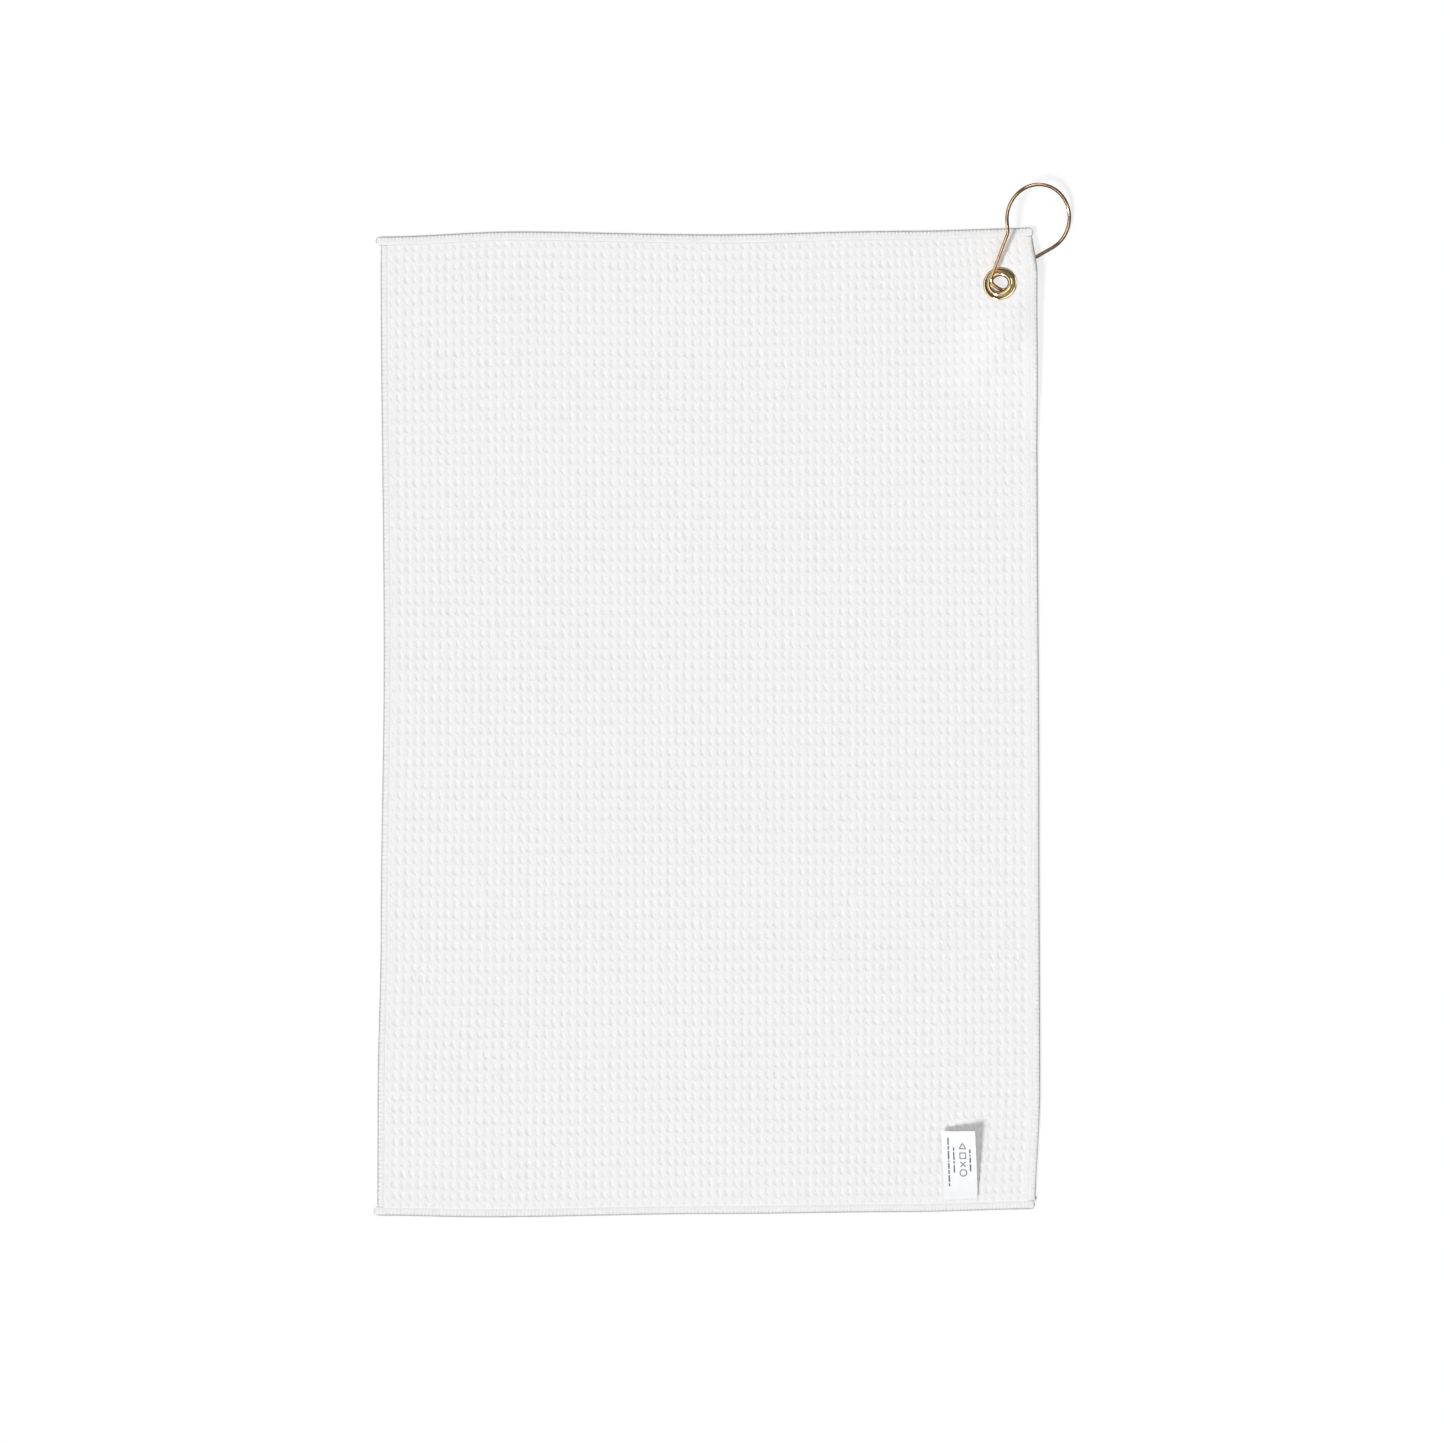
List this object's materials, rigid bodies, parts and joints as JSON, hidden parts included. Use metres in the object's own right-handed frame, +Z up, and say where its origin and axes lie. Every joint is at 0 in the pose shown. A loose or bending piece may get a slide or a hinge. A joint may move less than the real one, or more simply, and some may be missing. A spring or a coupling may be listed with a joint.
{
  "type": "golf towel",
  "caption": "Flat waffle-weave golf towel with overlocked edges, a brass grommet in one corner, a pear-shaped wire hook and a sewn care label.",
  "frame": {"origin": "middle of the towel panel, on the flat underside that it lies on", "axes": "+Y along the towel's length towards the end with the grommet, +X across it towards the side with the grommet, +Z up from the surface it lies on"},
  "size_m": [0.4327, 0.6401, 0.0141],
  "materials": {
    "waffle_cloth": "matte",
    "overlock_thread": "matte",
    "brass": "polished",
    "copper_wire": "polished",
    "satin_tape": "satin"
  },
  "bodies": {
    "towel": {"towel_panel": "waffle_cloth", "edge_thread_top": "overlock_thread", "edge_thread_bottom": "overlock_thread", "edge_thread_left": "overlock_thread", "edge_thread_right": "overlock_thread", "label_stitch": "overlock_thread"},
    "grommet": {"grommet_eyelet": "brass", "grommet_washer": "brass"},
    "hook": {"hook_wire": "copper_wire"},
    "label": {"care_label": "satin_tape"}
  },
  "joints": [
    {"name": "hook_swivel", "type": "hinge", "parent": "towel", "child": "grommet", "pos_m": [0.1799, 0.273, 0.004], "axis": [-0.2216, 0.1337, 0.9659], "range_deg": [-20, 60]},
    {"name": "hook_roll", "type": "hinge", "parent": "grommet", "child": "hook", "pos_m": [0.17974, 0.27309, 0.00468], "axis": [0.516, 0.8554, 0.0454], "range_deg": [0, 116]},
    {"name": "label_flip", "type": "hinge", "parent": "towel", "child": "label", "pos_m": [0.1556, -0.294, 0.00295], "axis": [0.9993, 0.0384, 0], "range_deg": [-1, 168]}
  ]
}
